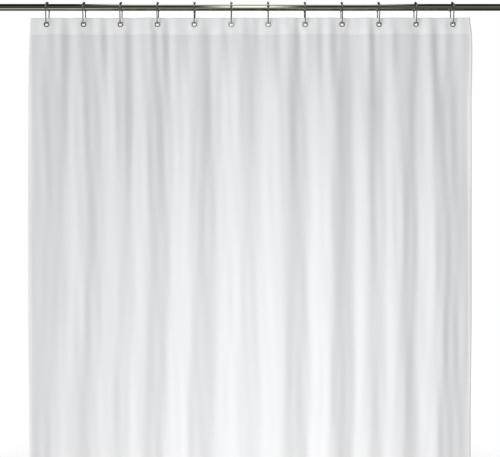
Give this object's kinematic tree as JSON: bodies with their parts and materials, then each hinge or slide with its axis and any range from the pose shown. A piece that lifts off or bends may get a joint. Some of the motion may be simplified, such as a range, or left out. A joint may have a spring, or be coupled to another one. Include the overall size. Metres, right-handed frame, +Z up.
{
  "type": "shower curtain",
  "caption": "Plain white fabric shower curtain with a header band and metal eyelets, hung on roller rings from a spring tension rod.",
  "frame": {"origin": "centre of the left pad's wall face, on the rod's axis", "axes": "+X along the rod to the right wall, the curtain's front faces -Y, +Z up"},
  "size_m": [2.184, 0.0462, 1.8971],
  "materials": {
    "rod_metal": "polished nickel tube, lengthwise reflections",
    "ring_chrome": "bright chrome plate",
    "bead_metal": "polished roller bead",
    "curtain_cloth": "plain weave white polyester, slightly translucent",
    "header_cloth": "the same cloth, doubled",
    "cap_plastic": "moulded, dark",
    "pad_rubber": "matt, grooved",
    "spring_steel": "drawn wire"
  },
  "bodies": {
    "rod": {"rod_outer_tube": "rod_metal", "left_end_cap": "cap_plastic", "left_wall_pad": "pad_rubber", "tension_spring": "spring_steel", "spring_stop": "cap_plastic"},
    "rod_slider": {"rod_inner_tube": "rod_metal", "right_end_cap": "cap_plastic", "right_wall_pad": "pad_rubber"},
    "curtain": {"curtain_panel": "curtain_cloth", "header_band": "header_cloth", "bottom_hem": "curtain_cloth", "side_hems": "curtain_cloth"},
    "ring_01": {"ring_wire_01": "ring_chrome", "ring_beads_01": "bead_metal", "grommet_01": "ring_chrome", "grommet_washer_01": "ring_chrome"},
    "ring_02": {"ring_wire_02": "ring_chrome", "ring_beads_02": "bead_metal", "grommet_02": "ring_chrome", "grommet_washer_02": "ring_chrome"},
    "ring_03": {"ring_wire_03": "ring_chrome", "ring_beads_03": "bead_metal", "grommet_03": "ring_chrome", "grommet_washer_03": "ring_chrome"},
    "ring_04": {"ring_wire_04": "ring_chrome", "ring_beads_04": "bead_metal", "grommet_04": "ring_chrome", "grommet_washer_04": "ring_chrome"},
    "ring_05": {"ring_wire_05": "ring_chrome", "ring_beads_05": "bead_metal", "grommet_05": "ring_chrome", "grommet_washer_05": "ring_chrome"},
    "ring_06": {"ring_wire_06": "ring_chrome", "ring_beads_06": "bead_metal", "grommet_06": "ring_chrome", "grommet_washer_06": "ring_chrome"},
    "ring_07": {"ring_wire_07": "ring_chrome", "ring_beads_07": "bead_metal", "grommet_07": "ring_chrome", "grommet_washer_07": "ring_chrome"},
    "ring_08": {"ring_wire_08": "ring_chrome", "ring_beads_08": "bead_metal", "grommet_08": "ring_chrome", "grommet_washer_08": "ring_chrome"},
    "ring_09": {"ring_wire_09": "ring_chrome", "ring_beads_09": "bead_metal", "grommet_09": "ring_chrome", "grommet_washer_09": "ring_chrome"},
    "ring_10": {"ring_wire_10": "ring_chrome", "ring_beads_10": "bead_metal", "grommet_10": "ring_chrome", "grommet_washer_10": "ring_chrome"},
    "ring_11": {"ring_wire_11": "ring_chrome", "ring_beads_11": "bead_metal", "grommet_11": "ring_chrome", "grommet_washer_11": "ring_chrome"},
    "ring_12": {"ring_wire_12": "ring_chrome", "ring_beads_12": "bead_metal", "grommet_12": "ring_chrome", "grommet_washer_12": "ring_chrome"}
  },
  "joints": [
    {"name": "rod_compress", "type": "slide", "parent": "rod", "child": "rod_slider", "axis": [1, 0, 0], "range_m": [-0.02, 0.04], "stiffness_N_per_m": 600, "deforming": ["tension_spring"]},
    {"name": "curtain_swing", "type": "hinge", "parent": "rod", "child": "curtain", "pos_m": [1.092, 0, 0], "axis": [1, 0, 0], "range_deg": [-20, 20]},
    {"name": "ring_01_slide", "type": "slide", "parent": "curtain", "child": "ring_01", "axis": [1, 0, 0], "range_m": [-0.20922, 0]},
    {"name": "ring_02_slide", "type": "slide", "parent": "curtain", "child": "ring_02", "axis": [1, 0, 0], "range_m": [-0.32009, 0]},
    {"name": "ring_03_slide", "type": "slide", "parent": "curtain", "child": "ring_03", "axis": [1, 0, 0], "range_m": [-0.43096, 0]},
    {"name": "ring_04_slide", "type": "slide", "parent": "curtain", "child": "ring_04", "axis": [1, 0, 0], "range_m": [-0.54183, 0]},
    {"name": "ring_05_slide", "type": "slide", "parent": "curtain", "child": "ring_05", "axis": [1, 0, 0], "range_m": [-0.6527, 0]},
    {"name": "ring_06_slide", "type": "slide", "parent": "curtain", "child": "ring_06", "axis": [1, 0, 0], "range_m": [-0.76358, 0]},
    {"name": "ring_07_slide", "type": "slide", "parent": "curtain", "child": "ring_07", "axis": [1, 0, 0], "range_m": [-0.87445, 0]},
    {"name": "ring_08_slide", "type": "slide", "parent": "curtain", "child": "ring_08", "axis": [1, 0, 0], "range_m": [-0.98532, 0]},
    {"name": "ring_09_slide", "type": "slide", "parent": "curtain", "child": "ring_09", "axis": [1, 0, 0], "range_m": [-1.09619, 0]},
    {"name": "ring_10_slide", "type": "slide", "parent": "curtain", "child": "ring_10", "axis": [1, 0, 0], "range_m": [-1.20706, 0]},
    {"name": "ring_11_slide", "type": "slide", "parent": "curtain", "child": "ring_11", "axis": [1, 0, 0], "range_m": [-1.31793, 0]},
    {"name": "ring_12_slide", "type": "slide", "parent": "curtain", "child": "ring_12", "axis": [1, 0, 0], "range_m": [-1.42879, 0], "deforming": ["curtain_panel", "header_band", "bottom_hem", "side_hems"]}
  ],
  "couplings": [
    {"joint": "ring_01_slide", "follows": "ring_12_slide", "ratio": 0.14642},
    {"joint": "ring_02_slide", "follows": "ring_12_slide", "ratio": 0.22402},
    {"joint": "ring_03_slide", "follows": "ring_12_slide", "ratio": 0.30162},
    {"joint": "ring_04_slide", "follows": "ring_12_slide", "ratio": 0.37922},
    {"joint": "ring_05_slide", "follows": "ring_12_slide", "ratio": 0.45682},
    {"joint": "ring_06_slide", "follows": "ring_12_slide", "ratio": 0.53441},
    {"joint": "ring_07_slide", "follows": "ring_12_slide", "ratio": 0.61201},
    {"joint": "ring_08_slide", "follows": "ring_12_slide", "ratio": 0.68961},
    {"joint": "ring_09_slide", "follows": "ring_12_slide", "ratio": 0.76721},
    {"joint": "ring_10_slide", "follows": "ring_12_slide", "ratio": 0.8448},
    {"joint": "ring_11_slide", "follows": "ring_12_slide", "ratio": 0.9224}
  ]
}
